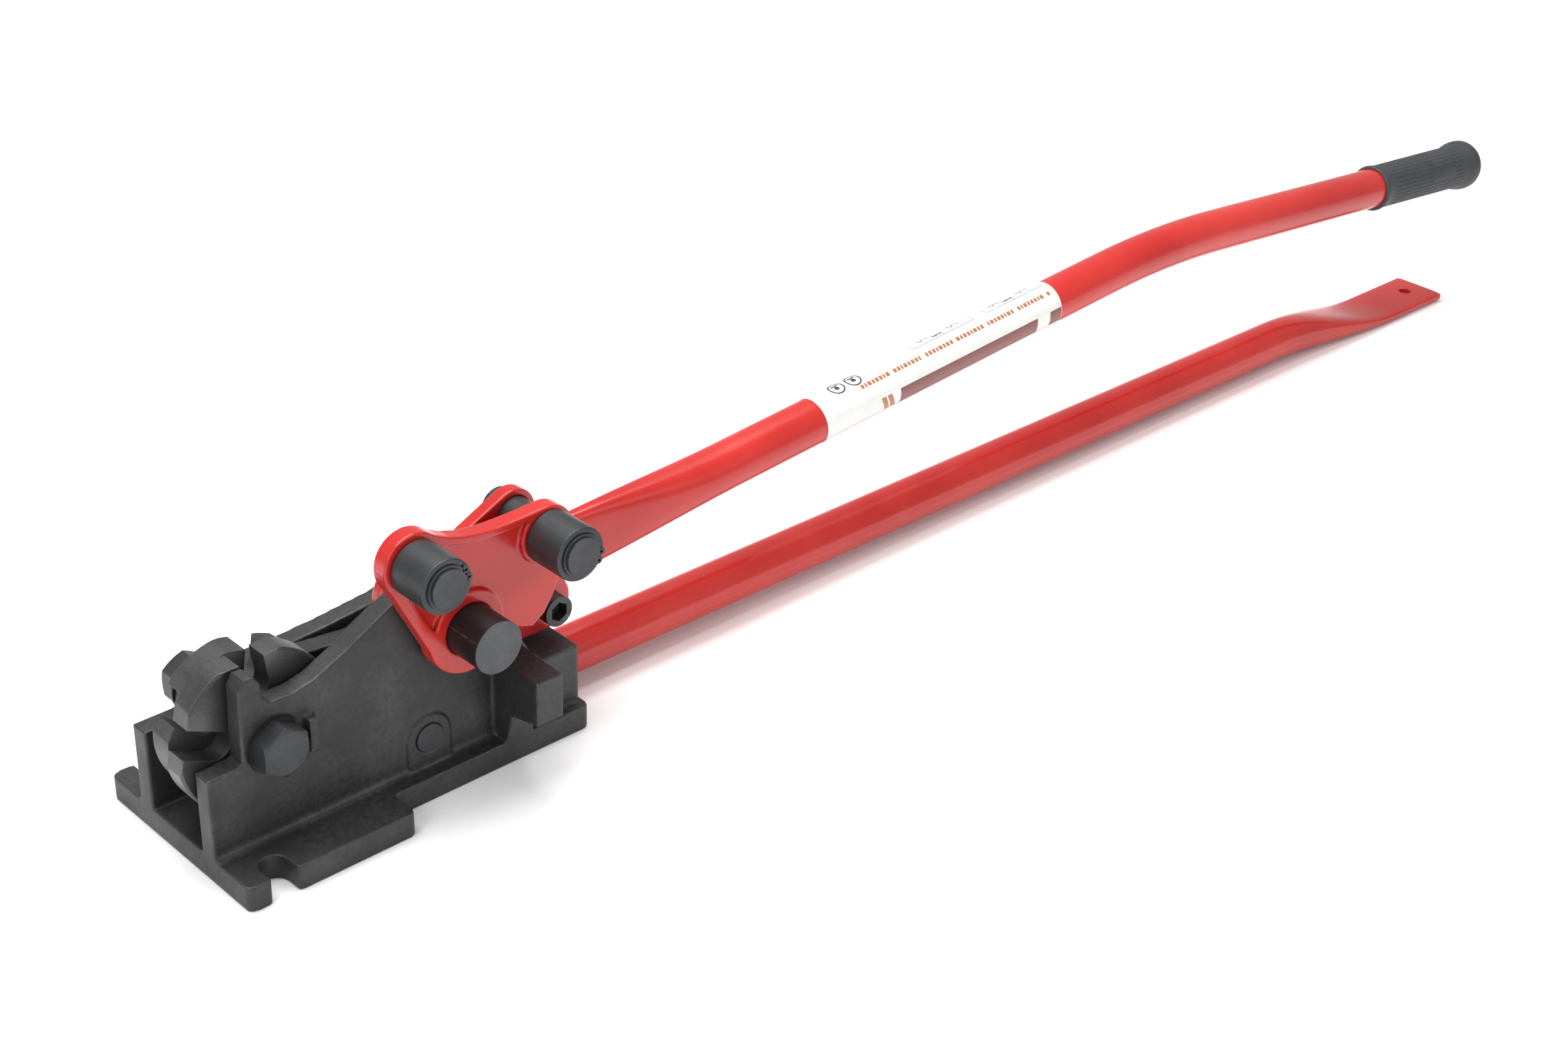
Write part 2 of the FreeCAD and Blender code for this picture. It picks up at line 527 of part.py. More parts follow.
def crank_plate():
    body = new_body("crank_plate")
    thick = "crank_far - crank_near"
    slab(body, "crank_plate_web", "crank_far", thick, outline_points("crank_plate"))
    lobes = ((PIVOT, "crank_boss"), (CRANK, "crank_lobe"), (CLAMP, "crank_lobe"))
    for index, (axis, radius) in enumerate(lobes):
        slab(body, "crank_plate_lobe_%d" % index, "crank_far", thick, circle=(*axis, radius))
    near = "crank_near - 1"
    bores = ((PIVOT, "pin_neck_radius"), (CRANK, "crank_pin_radius"), (CLAMP, "clamp_radius"),
             (GRIP_BOLT, "grip_bolt_radius"))
    for index, (axis, radius) in enumerate(bores):
        bore(body, "crank_plate_bore_%d" % index, near, circle=(*axis, radius + " + fit"))
    return body


def roller_pins():
    """Two pins with a running roller each; the rear pin also reaches through the inner plate."""
    face = "near_plate_far - near_plate_thick"
    seat = face + " - roller_gap - roller_length"
    clip = ("%s - 0.15 - circlip_thick" % seat, "%s - 0.05" % seat)
    inner_far = "inner_plate_near + inner_plate_thick"
    inner_clip = (inner_far + " + 0.05", inner_far + " + 0.15 + circlip_thick")
    pins = (("front", FRONT_ROLLER, "near_plate_far - 0.2", [("circlip", clip)]),
            ("rear", REAR_ROLLER, inner_far + " + rear_pin_out",
             [("circlip", clip), ("inner_circlip", inner_clip)]))
    for side, axis, end, clips in pins:
        pin = rod(side + "_pin_bar", *axis, "-roller_pin_end", end, "roller_pin_radius")
        for index, (label, (near, far)) in enumerate(clips):
            groove = ring("%s_groove_%d" % (side, index), *axis, "%s - 0.1" % near, "%s + 0.1" % far,
                          "roller_pin_radius + 2", "roller_pin_radius - 1")
            last = index == len(clips) - 1
            pin = cut(side + "_roller_pin" if last else "%s_pin_step_%d" % (side, index), pin, groove)
            ring("%s_roller_%s" % (side, label), *axis, near, far, "roller_pin_radius + 1.8",
                 "roller_pin_radius - 0.9")
        ring(side + "_roller", *axis, seat, face + " - roller_gap", "roller_radius",
             "roller_pin_radius + 0.07")


def handle_fasteners():
    head = rod("clamp_head_blank", *CLAMP, "inner_plate_near - clamp_head", "inner_plate_near - 0.02",
               "clamp_head_radius")
    shank = rod("clamp_shank", *CLAMP, "inner_plate_near - 1", "crank_far + clamp_nut_thick + 1.5",
                "clamp_radius")
    key = hexagon("clamp_key", *CLAMP, "inner_plate_near - clamp_head - 1", "inner_plate_near - 6",
                  "clamp_socket_flats")
    cut("clamp_screw", fuse("clamp_blank", head, shank), key)
    hex_nut("clamp_nut", *CLAMP, "crank_far + 0.02", "crank_far + clamp_nut_thick", "clamp_nut_flats",
            "clamp_radius + fit")
    head = crowned("grip_bolt_head_blank", *GRIP_BOLT, "inner_plate_near - grip_bolt_head",
                   "inner_plate_near - 0.02", "grip_bolt_flats")
    shank = rod("grip_bolt_shank", *GRIP_BOLT, "inner_plate_near - 1", "crank_far + grip_nut_thick + 1.2",
                "grip_bolt_radius")
    fuse("handle_bolt", head, shank)
    hex_nut("handle_bolt_nut", *GRIP_BOLT, "crank_far + 0.02", "crank_far + grip_nut_thick",
            "grip_bolt_flats", "grip_bolt_radius + fit")
    rod("crank_pin", *CRANK, "crank_near + 0.2", "lever_far", "crank_pin_radius")


# ---------------------------------------------------------------- tubes

def stadium(width, height, at, along, across):
    """A closed outline of two straights and two half circles, on a plane normal to along.

    width is measured along across, height along the third direction."""
    up = along.cross(across)
    if width >= height:
        long_way, short_way, radius = across, up, height / 2
    else:
        long_way, short_way, radius = up, across, width / 2
    half = max(abs(width - height) / 2, 0.05)
    a, b = at + long_way * half, at - long_way * half
    top, low = short_way * radius, short_way * -radius
    edges = [Part.LineSegment(b + top, a + top).toShape(),
             Part.Arc(a + top, a + long_way * radius, a + low).toShape(),
             Part.LineSegment(a + low, b + low).toShape(),
             Part.Arc(b + low, b - long_way * radius, b + top).toShape()]
    return Part.Wire(edges)


def feature(name, shape, placement=None):
    obj = doc.addObject("Part::Feature", name)
    obj.Shape = shape
    if placement:
        obj.Placement = placement
    return obj


def ground_tube():
    """Round tube whose free end is pressed flat along its underside into a drilled blade."""
    radius, wall = D["tube_radius"], D["tube_wall"]
    along, across = V(1, 0, 0), V(0, 1, 0)
    tube = Part.makeCylinder(radius, D["round_length"], V(0, 0, 0), along)
    hollow = Part.makeCylinder(radius - wall, D["round_length"] - 1, V(-1, 0, 0), along)
    stages = [(D["round_length"], 2 * radius, 2 * radius),
              (D["round_length"] + 40, 2 * radius + 3.5, 2 * radius - 7.5),
              (D["blade_start"] - 45, D["blade_width"] - 3, D["blade_thick"] + 7),
              (D["blade_start"], D["blade_width"], D["blade_thick"])]
    wires = [stadium(width, height, V(x, 0, height / 2 - radius), along, across)
             for x, width, height in stages]
    press = Part.makeLoft(wires, True, False)
    flat = Part.Face(wires[-1]).extrude(along * (D["blade_end"] - D["blade_start"]))
    drill = Part.makeCylinder(D["blade_hole"], 3 * radius,
                              V(D["blade_end"] - D["blade_hole_inset"], 0, -1.5 * radius), V(0, 0, 1))
    shape = tube.fuse([press, flat]).cut([hollow, drill]).removeSplitter()
    start = D["base_end"] - D["tube_depth"] + 1
    spot = FreeCAD.Placement(V(start, 0, D["tube_axis_height"]), FreeCAD.Rotation(across, D["tube_fall"]))
    return feature("ground_tube", shape, spot)


def handle_frame(distance):
    """Position and direction on the handle's centre line, at a distance from its hidden end."""
    rise, dip = math.radians(D["handle_rise"]), math.radians(D["handle_dip"])
    start = V(D["handle_start_x"], D["handle_y"], D["handle_start_height"])
    first, radius = D["handle_first"], D["bend_radius"]
    arc = radius * (rise + dip)
    if distance <= first:
        direction = V(math.cos(rise), 0, math.sin(rise))
        return start + direction * distance, direction
    corner = start + V(math.cos(rise), 0, math.sin(rise)) * first
    centre = corner + V(math.sin(rise), 0, -math.cos(rise)) * radius
    turned = min(distance - first, arc) / radius
    angle = rise - turned
    point = centre + V(-math.sin(angle), 0, math.cos(angle)) * radius
    direction = V(math.cos(angle), 0, math.sin(angle))
    return point + direction * max(distance - first - arc, 0), direction


def handle_length():
    bend = D["bend_radius"] * math.radians(D["handle_rise"] + D["handle_dip"])
    return D["handle_first"] + bend + D["handle_last"]


def bent_bar(begin, size):
    """A round bar along the handle's centre line, from a distance to the free end."""
    first, last = D["handle_first"], D["handle_last"]
    start, direction = handle_frame(begin)
    corner = handle_frame(first)[0]
    after, leaving = handle_frame(handle_length() - last)
    rise = math.radians(D["handle_rise"])
    centre = corner + V(math.sin(rise), 0, -math.cos(rise)) * D["bend_radius"]
    disc = Part.Face(Part.Wire([Part.Circle(corner, direction, size).toShape()]))
    bend = disc.revolve(centre, V(0, 1, 0), D["handle_rise"] + D["handle_dip"])
    return Part.makeCylinder(size, first - begin, start, direction).fuse(
        [bend, Part.makeCylinder(size, last, after, leaving)])


def handle_tube():
    """Tube pressed flat and upright where it enters the head, with one gentle bend near the grip."""
    radius, wall = D["tube_radius"], D["tube_wall"]
    across = V(0, 1, 0)
    flat, blend = D["flat_length"], D["flat_blend"]
    stages = [(0, D["flat_thick"], D["flat_height"]), (flat, D["flat_thick"], D["flat_height"]),
              (flat + 0.45 * blend, 0.68 * 2 * radius, 1.27 * 2 * radius),
              (flat + blend + 2, 2 * radius - 0.8, 2 * radius - 0.8)]
    wires = []
    for distance, width, height in stages:
        point, direction = handle_frame(distance)
        wires.append(stadium(width, height, point, direction, across))
    straight = Part.Face(wires[0]).extrude(handle_frame(flat)[0] - handle_frame(0)[0])
    press = Part.makeLoft(wires[1:], True, False)
    outside = straight.fuse([press, bent_bar(flat + blend, radius)])
    hollow = bent_bar(flat + blend + 3, radius - wall)
    place = V(D["clamp_x"], -40, D["clamp_height"])
    notch_tool = Part.makeCylinder(D["clamp_radius"] + 0.6, 60, place, across)
    hole_tool = Part.makeCylinder(D["grip_bolt_radius"] + D["fit"], 60,
                                  V(D["grip_bolt_x"], -40, D["grip_bolt_height"]), across)
    shape = outside.cut([hollow, notch_tool, hole_tool]).removeSplitter()
    return feature("handle_tube", shape)


def on_handle(distance):
    point, direction = handle_frame(distance)
    return FreeCAD.Placement(point, FreeCAD.Rotation(V(0, 0, 1), direction))


def label_sleeve():
    inner = D["tube_radius"] + 0.02
    outer = Part.makeCylinder(inner + D["label_thick"], D["label_length"])
    return feature("label_sleeve", outer.cut(Part.makeCylinder(inner, D["label_length"])),
                   on_handle(D["label_start"]))


def hand_grip():
    """Moulded sleeve with a collar in front and a rounded flange that closes the tube's end."""
    length, radius, flange = (D["handle_grip_length"], D["handle_grip_radius"], D["handle_grip_flange"])
    inner = D["tube_radius"] + 0.05
    cap = D["handle_grip_wall"]
    points = [(inner, 0), (radius + 0.8, 0), (radius + 0.8, 4), (radius, 8), (radius, length - 24),
              (flange, length - 16), (flange, length - 5), (flange - 6, length), (0, length),
              (0, length - cap), (inner, length - cap)]
    ring_wire = Part.makePolygon([V(r, 0, z) for r, z in points + points[:1]])
    shape = Part.Face(ring_wire).revolve(V(0, 0, 0), V(0, 0, 1), 360)
    return feature("hand_grip", shape, on_handle(handle_length() - length + cap + 0.2))


def build():
    base_frame()
    base_fasteners()
    cutter("fixed_cutter", "fixed_cutter_far", "fixed_cutter_thick", "0", (FIXED_DOWEL,), "fixed_radius",
           "fixed_bevel", "fixed_cutter_far - fixed_cutter_thick")
    moving_cutter_parts()
    near_plate()
    inner_plate()
    crank_plate()
    roller_pins()
    handle_fasteners()
    ground_tube()
    handle_tube()
    label_sleeve()
    hand_grip()


NODES = ["base_frame", "cutter_bolt", "cutter_washer", "cutter_nut", "tie_pin", "cutter_dowel",
         "cutter_spacer", "thrust_washer", "inner_thrust_washer", "main_pin", "main_pin_circlip",
         "fixed_cutter", "ground_tube",
         "moving_cutter", "cutter_lever", "lever_dowels",
         "near_plate", "inner_plate", "crank_plate", "crank_pin", "front_roller_pin", "rear_roller_pin",
         "front_roller_circlip", "rear_roller_circlip", "rear_roller_inner_circlip", "front_roller",
         "rear_roller", "clamp_screw", "clamp_nut", "handle_bolt", "handle_bolt_nut", "handle_tube",
         "label_sleeve", "hand_grip"]


def write_parts():
    doc.recompute()
    for obj in doc.Objects:
        if "Invalid" in obj.State or "Error" in obj.State:
            raise RuntimeError("failed object: %s %s" % (obj.Name, obj.State))
    os.makedirs("parts", exist_ok=True)
    for name in NODES:
        obj = doc.getObjectsByLabel(name)[0]
        shape = obj.Shape
        if shape.isNull() or not shape.isValid():
            raise RuntimeError("bad shape: " + name)
        shape.exportStep("parts/%s.step" % name)
        print("%-22s solids %d  volume %.0f mm3" % (name, len(shape.Solids), shape.Volume))


build()
write_parts()
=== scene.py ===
import math
import bmesh
import bpy
from mathutils import Matrix, Vector


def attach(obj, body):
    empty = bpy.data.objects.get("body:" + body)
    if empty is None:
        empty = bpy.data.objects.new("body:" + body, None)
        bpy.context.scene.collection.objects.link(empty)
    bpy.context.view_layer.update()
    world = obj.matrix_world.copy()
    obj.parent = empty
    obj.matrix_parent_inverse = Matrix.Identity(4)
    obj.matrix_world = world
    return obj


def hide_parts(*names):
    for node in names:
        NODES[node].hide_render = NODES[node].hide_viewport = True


# Manual rebar cutter and bender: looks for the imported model. Metres, same frame as the CAD.

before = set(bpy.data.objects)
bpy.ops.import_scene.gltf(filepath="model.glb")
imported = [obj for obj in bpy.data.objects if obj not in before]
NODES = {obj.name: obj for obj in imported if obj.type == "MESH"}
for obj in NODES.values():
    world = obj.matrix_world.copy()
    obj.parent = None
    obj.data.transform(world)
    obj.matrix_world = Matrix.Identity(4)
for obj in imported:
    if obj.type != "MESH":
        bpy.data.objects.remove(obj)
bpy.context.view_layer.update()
scene = bpy.context.scene


# ---------------------------------------------------------------- material helpers

class Shader:
    """A small wrapper that adds nodes to one material."""

    def __init__(self, name):
        self.material = bpy.data.materials.new(name)
        self.material.use_nodes = True
        self.tree = self.material.node_tree
        self.out = self.tree.nodes["Principled BSDF"]
        coordinates = self.add("ShaderNodeTexCoord")
        self.place = coordinates.outputs["Object"]

    def add(self, kind, **values):
        node = self.tree.nodes.new(kind)
        for key, value in values.items():
            if hasattr(node, key):
                setattr(node, key, value)
            else:
                node.inputs[key.replace("_", " ")].default_value = value
        return node

    def link(self, source, target):
        self.tree.links.new(source, target)

    def set(self, **values):
        for key, value in values.items():
            self.out.inputs[key.replace("_", " ")].default_value = value

    def noise(self, scale, detail=3.0, rough=0.5, stretch=None):
        node = self.add("ShaderNodeTexNoise", Scale=scale, Detail=detail, Roughness=rough)
        source = self.place
        if stretch:
            mapping = self.add("ShaderNodeMapping", Scale=stretch)
            self.link(source, mapping.inputs["Vector"])
            source = mapping.outputs["Vector"]
        self.link(source, node.inputs["Vector"])
        return node.outputs["Fac"]

    def ramp(self, factor, stops):
        node = self.add("ShaderNodeValToRGB")
        ramp = node.color_ramp
        while len(ramp.elements) < len(stops):
            ramp.elements.new(0.5)
        for element, (position, value) in zip(ramp.elements, stops):
            element.position = position
            element.color = (*value, 1.0) if isinstance(value, tuple) else (value, value, value, 1.0)
        self.link(factor, node.inputs["Fac"])
        return node.outputs["Color"]

    def mix(self, factor, first, second, mode="MIX"):
        node = self.add("ShaderNodeMix", data_type="RGBA", blend_type=mode)
        if isinstance(factor, float):
            node.inputs[0].default_value = factor
        else:
            self.link(factor, node.inputs[0])
        for socket, value in ((node.inputs[6], first), (node.inputs[7], second)):
            if isinstance(value, tuple):
                socket.default_value = (*value, 1.0)
            else:
                self.link(value, socket)
        return node.outputs[2]

    def combine(self, first, second, weight=1.0):
        """The first value plus a share of the second."""
        scaled = self.add("ShaderNodeMath", operation="MULTIPLY")
        self.link(second, scaled.inputs[0])
        scaled.inputs[1].default_value = weight
        node = self.add("ShaderNodeMath", operation="ADD")
        self.link(first, node.inputs[0])
        self.link(scaled.outputs[0], node.inputs[1])
        return node.outputs[0]

    def edges(self, low, high):
        """Light where an edge sticks out, for rubbed and chipped corners."""
        geometry = self.add("ShaderNodeNewGeometry")
        sharp = self.ramp(geometry.outputs["Pointiness"], [(low, 0.0), (high, 1.0)])
        chips = self.ramp(self.noise(170.0, 4.0, 0.7), [(0.42, 0.0), (0.60, 1.0)])
        return self.mix(chips, (0.0, 0.0, 0.0), sharp)

    def beyond(self, limit):
        """One where the surface lies further out than a plane across Y."""
        split = self.add("ShaderNodeSeparateXYZ")
        self.link(self.place, split.inputs[0])
        test = self.add("ShaderNodeMath", operation="LESS_THAN")
        self.link(split.outputs["Y"], test.inputs[0])
        test.inputs[1].default_value = limit
        return test.outputs[0]

    def bump(self, height, strength, distance):
        node = self.add("ShaderNodeBump", Strength=strength, Distance=distance)
        self.link(height, node.inputs["Height"])
        self.link(node.outputs["Normal"], self.out.inputs["Normal"])

    def colour(self, socket):
        self.link(socket, self.out.inputs["Base Color"])

    def rough(self, socket):
        self.link(socket, self.out.inputs["Roughness"])


RUBBED_CASTING = (0.14, 0.135, 0.13)
RUBBED_STEEL = (0.16, 0.155, 0.15)
TURN = 6.28  # radians in one turning line


def casting(name, dark, light, gloss):
    """Oiled dark sand casting with a fine grain, soft undulation and a few rubbed patches."""
    s = Shader(name)
    patches = s.noise(22.0, 4.0, 0.55)
    grain = s.noise(900.0, 2.0, 0.6)
    pits = s.noise(260.0, 3.0, 0.6)
    surface = s.ramp(patches, [(0.32, dark), (0.72, light)])
    body = s.mix(s.ramp(pits, [(0.30, 0.0), (0.62, 1.0)]), dark, surface)
    s.colour(s.mix(s.edges(0.54, 0.62), body, RUBBED_CASTING))
    s.rough(s.ramp(patches, [(0.3, gloss + 0.1), (0.7, gloss - 0.06)]))
    s.bump(s.combine(s.combine(patches, pits, weight=0.55), grain, weight=0.30), 0.45, 0.0008)
    s.set(Metallic=0.25, Specular_IOR_Level=0.5)
    return s.material


def steel(name, dark, light, gloss, metal, axis=None, lines=700.0, side=None):
    """Machined steel: turning lines round an axis along Y, or brushed streaks.

    side is a Y limit and a painted shade colour for the surface on its far side, darker than the turned tone.
    """
    s = Shader(name)
    patches = s.noise(38.0, 3.0, 0.5)
    if axis:
        mapping = s.add("ShaderNodeMapping", Location=(-axis[0], 0.0, -axis[1]))
        mapping.inputs["Scale"].default_value = (1.0, 0.0, 1.0)
        s.link(s.place, mapping.inputs["Vector"])
        length = s.add("ShaderNodeVectorMath", operation="LENGTH")
        s.link(mapping.outputs["Vector"], length.inputs[0])
        wave = s.add("ShaderNodeMath", operation="MULTIPLY")
        s.link(length.outputs["Value"], wave.inputs[0])
        wave.inputs[1].default_value = lines * TURN
        sine = s.add("ShaderNodeMath", operation="SINE")
        s.link(wave.outputs[0], sine.inputs[0])
        streaks = s.combine(s.noise(500.0, 2.0), sine.outputs[0], weight=0.05)
    else:
        streaks = s.noise(420.0, 3.0, 0.6, stretch=(1.0, 0.06, 1.0))
    tone = s.mix(0.35, s.ramp(patches, [(0.3, dark), (0.7, light)]),
                 s.ramp(streaks, [(0.2, dark), (0.8, light)]))
    # Painted shade: past the Y limit the surface takes the dark side colour in place of the turned tone.
    if side:
        tone = s.mix(s.beyond(side[0]), side[1], tone)
    s.colour(s.mix(s.edges(0.55, 0.66), tone, RUBBED_STEEL))
    s.rough(s.ramp(patches, [(0.3, gloss + 0.08), (0.7, gloss - 0.05)]))
    s.bump(streaks, 0.14, 0.0002)
    s.set(Metallic=metal)
    return s.material


def enamel(name, deep, bright):
    """Thick gloss enamel over rough forgings and tube: slow sags and light orange peel."""
    s = Shader(name)
    sags = s.noise(24.0, 1.0, 0.35)
    peel = s.noise(200.0, 1.0, 0.4)
    tone = s.noise(9.0, 3.0, 0.5)
    s.colour(s.mix(s.ramp(tone, [(0.35, 0.0), (0.7, 1.0)]), deep, bright))
    s.rough(s.ramp(tone, [(0.3, 0.23), (0.7, 0.29)]))
    s.bump(s.combine(sags, peel, weight=0.010), 0.30, 0.0014)
    s.set(Coat_Weight=0.25, Coat_Roughness=0.08, Specular_IOR_Level=0.40)
    return s.material


def rubber(name):
    s = Shader(name)
    dust = s.noise(60.0, 4.0, 0.6)
    grain = s.noise(1500.0, 2.0)
    s.colour(s.ramp(dust, [(0.3, (0.030, 0.032, 0.037)), (0.75, (0.052, 0.055, 0.062))]))
    s.rough(s.ramp(dust, [(0.3, 0.50), (0.7, 0.62)]))
    s.bump(grain, 0.15, 0.0002)
    s.set(Specular_IOR_Level=0.45)
    return s.material


FILM_ROUGHNESS = 0.25


def film(name, colour):
    """Printed label film with a faint mottle."""
    s = Shader(name)
    mottle = s.noise(70.0, 3.0)
    low = tuple(v * 0.93 for v in colour)
    s.colour(s.ramp(mottle, [(0.3, low), (0.7, colour)]))
    s.rough(s.ramp(mottle, [(0.3, FILM_ROUGHNESS + 0.06), (0.7, FILM_ROUGHNESS)]))
    s.set(Coat_Weight=0.4, Coat_Roughness=0.1)
    return s.material


# Axes of the turned pieces, as X and Z.
BOLT_AXIS, MAIN_AXIS = (0.0, 0.08), (0.132, 0.113)
FRONT_AXIS, REAR_AXIS = (0.0936, 0.1718), (0.1930, 0.1562)
PIN_SHADE, PIN_SHINE = (0.028, 0.029, 0.031), (0.062, 0.064, 0.068)
# Y plane and painted shade colour for the main pin's side, darker than its turned end face.
MAIN_PIN_PAINTED_SHADE = (-0.0836, (0.022, 0.021, 0.022))

CAST = casting("dark_casting", (0.022, 0.022, 0.022), (0.050, 0.050, 0.050), 0.44)
LEVER = casting("lever_casting", (0.020, 0.020, 0.020), (0.040, 0.040, 0.040), 0.5)
CUTTER = steel("cutter_steel", (0.035, 0.035, 0.036), (0.100, 0.100, 0.103), 0.40, 0.6, BOLT_AXIS, 450.0)
OXIDE = steel("black_oxide", (0.028, 0.029, 0.031), (0.058, 0.060, 0.064), 0.40, 0.5)
FRONT_PIN = steel("front_pin_oxide", PIN_SHADE, PIN_SHINE, 0.38, 0.5, FRONT_AXIS, 700.0)
REAR_PIN = steel("rear_pin_oxide", PIN_SHADE, PIN_SHINE, 0.38, 0.5, REAR_AXIS, 700.0)
PIN_FACE = steel("main_pin_steel", (0.055, 0.058, 0.062), (0.090, 0.094, 0.100), 0.40, 0.6, MAIN_AXIS, 900.0,
                 MAIN_PIN_PAINTED_SHADE)
BRIGHT = steel("plain_steel", (0.14, 0.14, 0.145), (0.24, 0.24, 0.245), 0.38, 0.85)
RED = enamel("red_enamel", (0.45, 0.014, 0.011), (0.57, 0.027, 0.020))
GRIP = rubber("grip_rubber")
CREAM = film("label_film", (0.80, 0.80, 0.775))
MAROON = film("label_maroon", (0.20, 0.045, 0.035))
INK = film("label_ink", (0.03, 0.03, 0.03))
ORANGE = film("label_orange", (0.42, 0.16, 0.06))

FINISH = {"base_frame": CAST, "cutter_lever": LEVER, "cutter_bolt": OXIDE, "cutter_washer": OXIDE,
          "cutter_nut": OXIDE, "tie_pin": OXIDE, "cutter_dowel": BRIGHT, "cutter_spacer": BRIGHT,
          "thrust_washer": CAST, "inner_thrust_washer": BRIGHT, "main_pin": PIN_FACE,
          "main_pin_circlip": OXIDE, "fixed_cutter": CUTTER, "moving_cutter": CUTTER,
          "lever_dowels": BRIGHT, "crank_pin": BRIGHT, "clamp_screw": OXIDE, "clamp_nut": OXIDE,
          "handle_bolt": OXIDE, "handle_bolt_nut": OXIDE, "front_roller": OXIDE, "rear_roller": OXIDE,
          "front_roller_pin": FRONT_PIN, "rear_roller_pin": REAR_PIN, "front_roller_circlip": OXIDE,
          "rear_roller_circlip": OXIDE, "rear_roller_inner_circlip": OXIDE, "near_plate": RED,
          "inner_plate": RED, "crank_plate": RED, "handle_tube": RED, "ground_tube": RED,
          "label_sleeve": CREAM, "hand_grip": GRIP}


def finish_nodes():
    for name, node in NODES.items():
        node.data.materials.clear()
        node.data.materials.append(FINISH[name])


# ---------------------------------------------------------------- mesh helpers

def new_piece(name, mesh, material, body, replaced=()):
    piece = bpy.data.objects.new(name, mesh)
    scene.collection.objects.link(piece)
    mesh.materials.clear()
    mesh.materials.append(material)
    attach(piece, body)
    if replaced:
        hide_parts(*replaced)
    return piece


def shade_smooth(mesh, angle=40.0):
    for polygon in mesh.polygons:
        polygon.use_smooth = True
    if angle < 180:
        edges = bmesh.new()
        edges.from_mesh(mesh)
        for edge in edges.edges:
            edge.smooth = len(edge.link_faces) == 2 and edge.calc_face_angle() < math.radians(angle)
        edges.to_mesh(mesh)
        edges.free()


def softened(node_name, voxel, rounds, keep, piece_name, material, body):
    """A copy of a CAD solid with every edge rolled over, as a casting or thick paint leaves it."""
    mesh = NODES[node_name].data.copy()
    work = bpy.data.objects.new(piece_name + "_work", mesh)
    scene.collection.objects.link(work)
    remesh = work.modifiers.new("voxels", "REMESH")
    remesh.mode = "VOXEL"
    remesh.voxel_size = voxel
    smooth = work.modifiers.new("roll", "SMOOTH")
    smooth.factor = 0.5
    smooth.iterations = rounds
    thin = work.modifiers.new("thin", "DECIMATE")
    thin.ratio = keep
    graph = bpy.context.evaluated_depsgraph_get()
    result = bpy.data.meshes.new_from_object(work.evaluated_get(graph))
    bpy.data.objects.remove(work)
    for polygon in result.polygons:
        polygon.use_smooth = True
    return new_piece(piece_name, result, material, body, (node_name,))


# ---------------------------------------------------------------- rounded CAD nodes

def flat_shaded(mesh):
    """Drop the imported normals, so that bevels and weighting set the shading."""
    if "custom_normal" in mesh.attributes:
        mesh.attributes.remove(mesh.attributes["custom_normal"])
    for name in ("sharp_edge", "sharp_face"):
        if name in mesh.attributes:
            mesh.attributes.remove(mesh.attributes[name])


def break_edges(name, width):
    """Small broken edges on a machined CAD node, as modifiers over its own mesh."""
    node = NODES[name]
    flat_shaded(node.data)
    join = node.modifiers.new("weld", "WELD")
    join.merge_threshold = 1e-6
    bevel = node.modifiers.new("broken_edges", "BEVEL")
    bevel.width = width
    bevel.segments = 2
    bevel.limit_method = "ANGLE"
    bevel.angle_limit = math.radians(35)
    bevel.use_clamp_overlap = True
    crisp = node.modifiers.new("crisp", "WEIGHTED_NORMAL")
    crisp.weight = 90


EDGES = {"fixed_cutter": 0.5, "moving_cutter": 0.5, "front_roller": 1.1, "rear_roller": 1.1,
         "front_roller_pin": 1.2, "rear_roller_pin": 1.2, "main_pin": 0.8, "cutter_bolt": 0.9,
         "cutter_nut": 0.8, "cutter_washer": 0.5, "clamp_screw": 0.9, "clamp_nut": 0.6,
         "handle_bolt": 0.6, "handle_bolt_nut": 0.6, "tie_pin": 0.7, "thrust_washer": 0.5,
         "crank_pin": 0.8, "cutter_spacer": 0.4, "inner_thrust_washer": 0.4}


def machined_edges():
    for name, width in EDGES.items():
        break_edges(name, width * 0.001)


# ---------------------------------------------------------------- tubes

AROUND = 72
HANDLE_START = Vector((0.170, -0.0056, 0.1003))
HANDLE_RISE, HANDLE_DIP = math.radians(4.77), math.radians(4.93)
HANDLE_FIRST, HANDLE_BEND, HANDLE_LAST = 0.608, 0.820, 0.361
HANDLE_ARC = HANDLE_BEND * (HANDLE_RISE + HANDLE_DIP)
HANDLE_LENGTH = HANDLE_FIRST + HANDLE_ARC + HANDLE_LAST
TUBE_RADIUS = 0.01685
SIDE = Vector((0.0, -1.0, 0.0))


def handle_frame(distance):
    """Point, direction and upward normal on the handle's centre line."""
    first = min(distance, HANDLE_FIRST)
    point = HANDLE_START + Vector((math.cos(HANDLE_RISE), 0, math.sin(HANDLE_RISE))) * first
    turned = min(max(distance - HANDLE_FIRST, 0.0), HANDLE_ARC) / HANDLE_BEND
    centre = point + Vector((math.sin(HANDLE_RISE), 0, -math.cos(HANDLE_RISE))) * HANDLE_BEND
    angle = HANDLE_RISE - turned
    if turned > 0:
        point = centre + Vector((-math.sin(angle), 0, math.cos(angle))) * HANDLE_BEND
    along = Vector((math.cos(angle), 0, math.sin(angle)))
    point = point + along * max(distance - HANDLE_FIRST - HANDLE_ARC, 0.0)
    return point, along, Vector((-math.sin(angle), 0, math.cos(angle)))


def ease(value):
    value = min(max(value, 0.0), 1.0)
    return value * value * (3.0 - 2.0 * value)


def blend(first, second, share):
    return first + (second - first) * share


def power(value, exponent):
    return math.copysign(abs(value) ** exponent, value)


